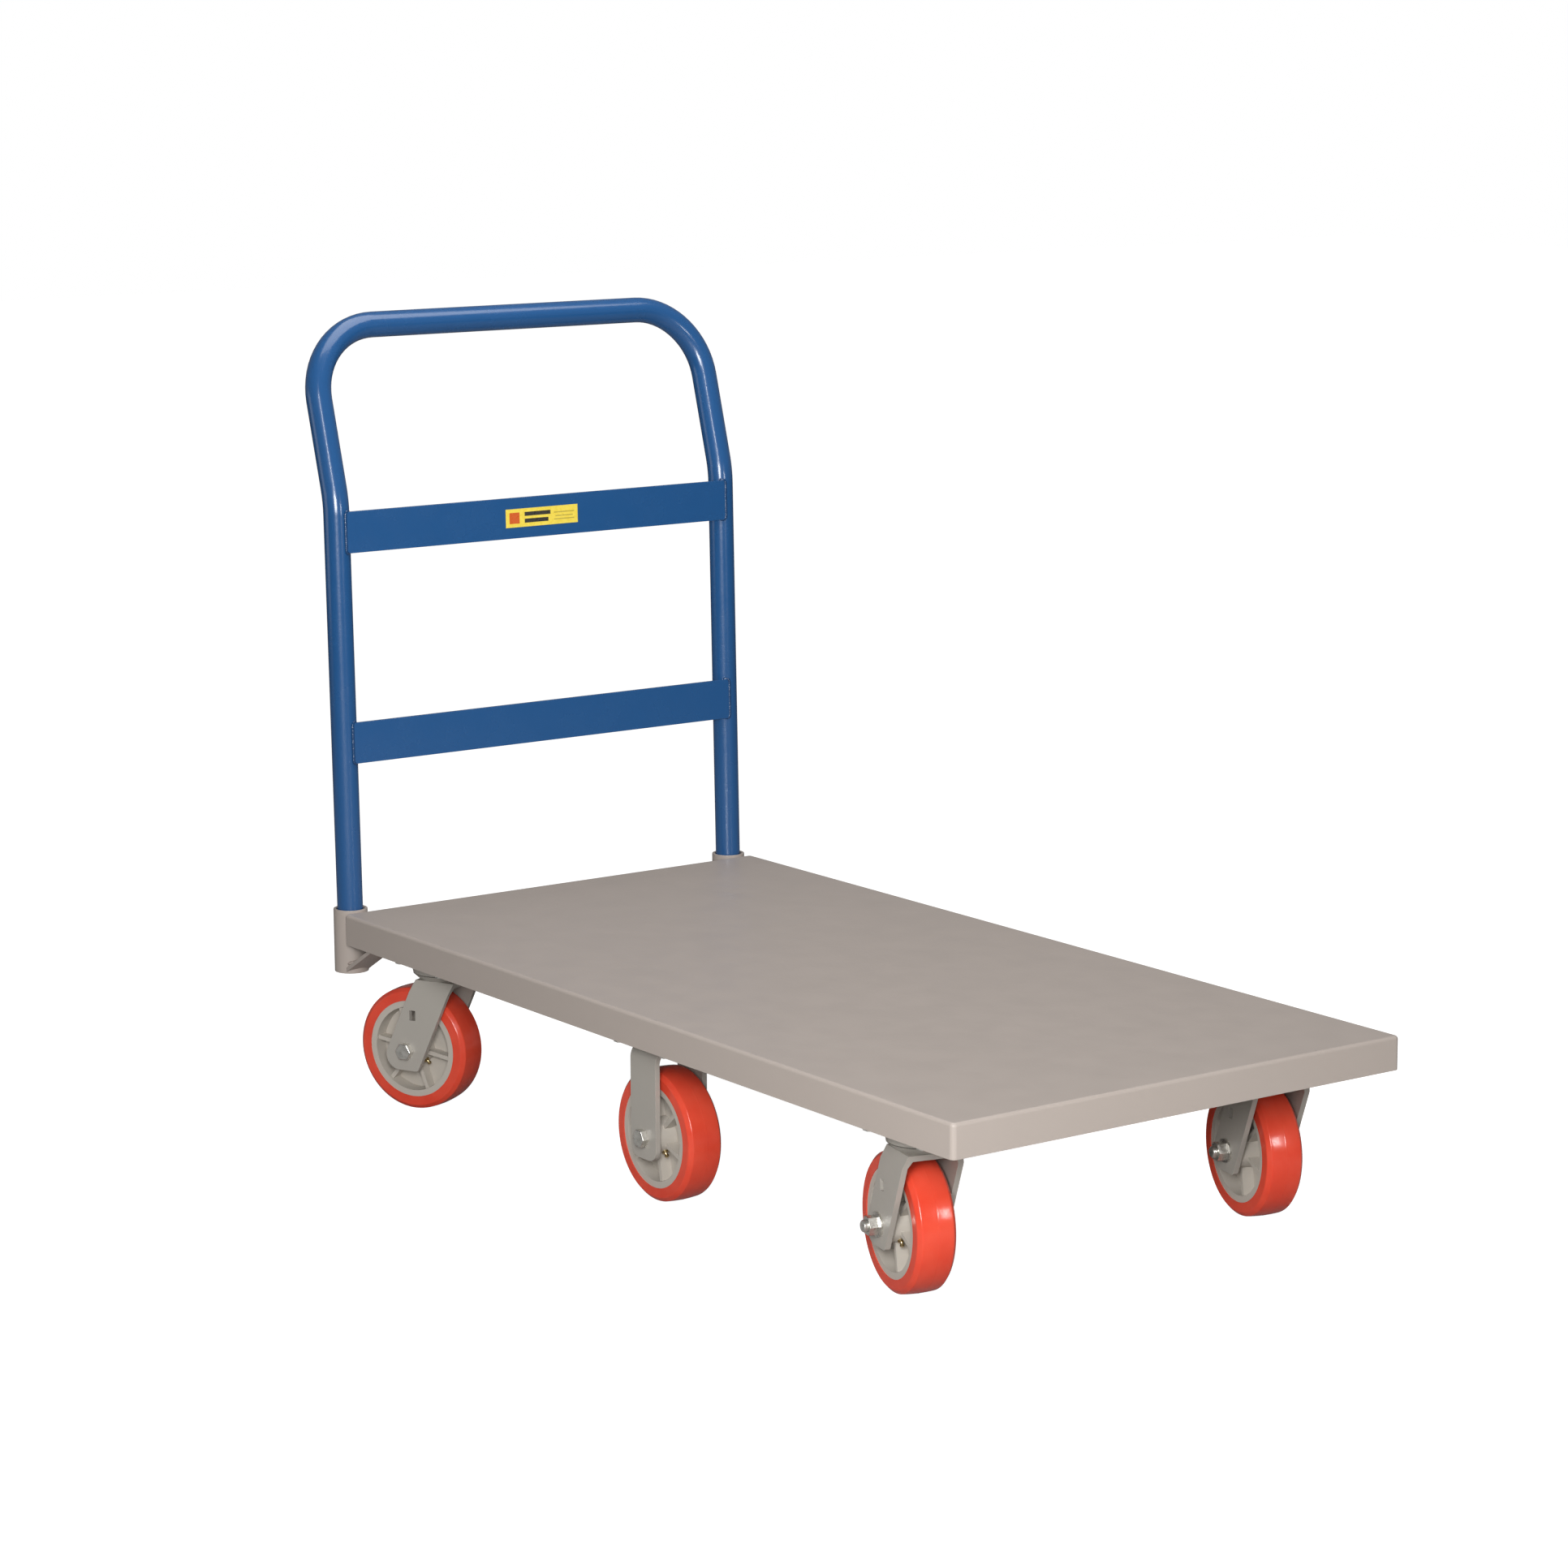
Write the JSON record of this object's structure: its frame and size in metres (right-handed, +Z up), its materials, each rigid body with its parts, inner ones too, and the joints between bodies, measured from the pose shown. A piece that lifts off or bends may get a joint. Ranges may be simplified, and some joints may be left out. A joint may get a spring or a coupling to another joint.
{
  "type": "flatbed platform truck",
  "caption": "Flat steel deck on six wheels, swivel at the corners and rigid at the middle, with an upright tube handle that lifts out of two sockets.",
  "frame": {"origin": "on the floor under the middle of the whole truck", "axes": "+X towards the front, away from the handle; +Y towards the left side; +Z up"},
  "size_m": [1.3274, 0.6128, 0.9558],
  "materials": {
    "deck_paint": "semi-gloss warm grey enamel",
    "caster_paint": "satin warm grey enamel",
    "handle_paint": "gloss blue powder coat",
    "polyurethane": "glossy cast polyurethane",
    "polyolefin": "moulded, slightly satin",
    "zinc_hardware": "bright zinc plate",
    "bearing_steel": "ground and oiled",
    "label_film": "glossy vinyl film"
  },
  "bodies": {
    "root": {"deck_pan": "deck_paint", "rear_cross_channel": "deck_paint", "middle_cross_channel": "deck_paint", "front_cross_channel": "deck_paint", "caster_bolts": "zinc_hardware", "caster_nuts": "zinc_hardware", "swivel_plate_rear_right": "caster_paint", "swivel_plate_rear_left": "caster_paint", "swivel_plate_front_right": "caster_paint", "swivel_plate_front_left": "caster_paint", "race_balls": "bearing_steel", "kingpins": "zinc_hardware", "rigid_yoke_right": "caster_paint", "axle_bolt_middle_right": "zinc_hardware", "axle_sleeve_middle_right": "bearing_steel", "rigid_yoke_left": "caster_paint", "axle_bolt_middle_left": "zinc_hardware", "axle_sleeve_middle_left": "bearing_steel", "handle_socket_right": "deck_paint", "socket_brace_right": "deck_paint", "handle_socket_left": "deck_paint", "socket_brace_left": "deck_paint", "socket_stops": "deck_paint"},
    "handle": {"handle_tube": "handle_paint", "lower_rail": "handle_paint", "upper_rail": "handle_paint", "rail_label": "label_film"},
    "swivel_rear_right": {"swivel_yoke_rear_right": "caster_paint", "axle_bolt_rear_right": "zinc_hardware", "axle_sleeve_rear_right": "bearing_steel"},
    "swivel_rear_left": {"swivel_yoke_rear_left": "caster_paint", "axle_bolt_rear_left": "zinc_hardware", "axle_sleeve_rear_left": "bearing_steel"},
    "swivel_front_right": {"swivel_yoke_front_right": "caster_paint", "axle_bolt_front_right": "zinc_hardware", "axle_sleeve_front_right": "bearing_steel"},
    "swivel_front_left": {"swivel_yoke_front_left": "caster_paint", "axle_bolt_front_left": "zinc_hardware", "axle_sleeve_front_left": "bearing_steel"},
    "wheel_rear_right": {"wheel_core_rear_right": "polyolefin", "wheel_tread_rear_right": "polyurethane", "roller_bearing_rear_right": "bearing_steel"},
    "wheel_rear_left": {"wheel_core_rear_left": "polyolefin", "wheel_tread_rear_left": "polyurethane", "roller_bearing_rear_left": "bearing_steel"},
    "wheel_front_right": {"wheel_core_front_right": "polyolefin", "wheel_tread_front_right": "polyurethane", "roller_bearing_front_right": "bearing_steel"},
    "wheel_front_left": {"wheel_core_front_left": "polyolefin", "wheel_tread_front_left": "polyurethane", "roller_bearing_front_left": "bearing_steel"},
    "wheel_middle_right": {"wheel_core_middle_right": "polyolefin", "wheel_tread_middle_right": "polyurethane", "roller_bearing_middle_right": "bearing_steel"},
    "wheel_middle_left": {"wheel_core_middle_left": "polyolefin", "wheel_tread_middle_left": "polyurethane", "roller_bearing_middle_left": "bearing_steel"}
  },
  "joints": [
    {"name": "handle_lift", "type": "slide", "parent": "root", "child": "handle", "axis": [-0.0209, 0, 0.9998], "range_m": [0, 0.1]},
    {"name": "swivel_rear_right_turn", "type": "hinge", "parent": "root", "child": "swivel_rear_right", "pos_m": [-0.42549, -0.2398, 0.17145], "axis": [0, 0, 1], "continuous": true},
    {"name": "swivel_rear_left_turn", "type": "hinge", "parent": "root", "child": "swivel_rear_left", "pos_m": [-0.42549, 0.2398, 0.17145], "axis": [0, 0, 1], "continuous": true},
    {"name": "swivel_front_right_turn", "type": "hinge", "parent": "root", "child": "swivel_front_right", "pos_m": [0.53021, -0.2398, 0.17145], "axis": [0, 0, 1], "continuous": true},
    {"name": "swivel_front_left_turn", "type": "hinge", "parent": "root", "child": "swivel_front_left", "pos_m": [0.53021, 0.2398, 0.17145], "axis": [0, 0, 1], "continuous": true},
    {"name": "wheel_rear_right_roll", "type": "hinge", "parent": "swivel_rear_right", "child": "wheel_rear_right", "pos_m": [-0.45785, -0.25558, 0.0762], "axis": [-0.4384, 0.8988, 0], "continuous": true},
    {"name": "wheel_rear_left_roll", "type": "hinge", "parent": "swivel_rear_left", "child": "wheel_rear_left", "pos_m": [-0.45785, 0.25558, 0.0762], "axis": [0.4384, 0.8988, 0], "continuous": true},
    {"name": "wheel_front_right_roll", "type": "hinge", "parent": "swivel_front_right", "child": "wheel_front_right", "pos_m": [0.49513, -0.2317, 0.0762], "axis": [0.225, 0.9744, 0], "continuous": true},
    {"name": "wheel_front_left_roll", "type": "hinge", "parent": "swivel_front_left", "child": "wheel_front_left", "pos_m": [0.49513, 0.2479, 0.0762], "axis": [0.225, 0.9744, 0], "continuous": true},
    {"name": "wheel_middle_right_roll", "type": "hinge", "parent": "root", "child": "wheel_middle_right", "pos_m": [0.06011, -0.2398, 0.0762], "axis": [0, 1, 0], "continuous": true},
    {"name": "wheel_middle_left_roll", "type": "hinge", "parent": "root", "child": "wheel_middle_left", "pos_m": [0.06011, 0.2398, 0.0762], "axis": [0, 1, 0], "continuous": true}
  ]
}
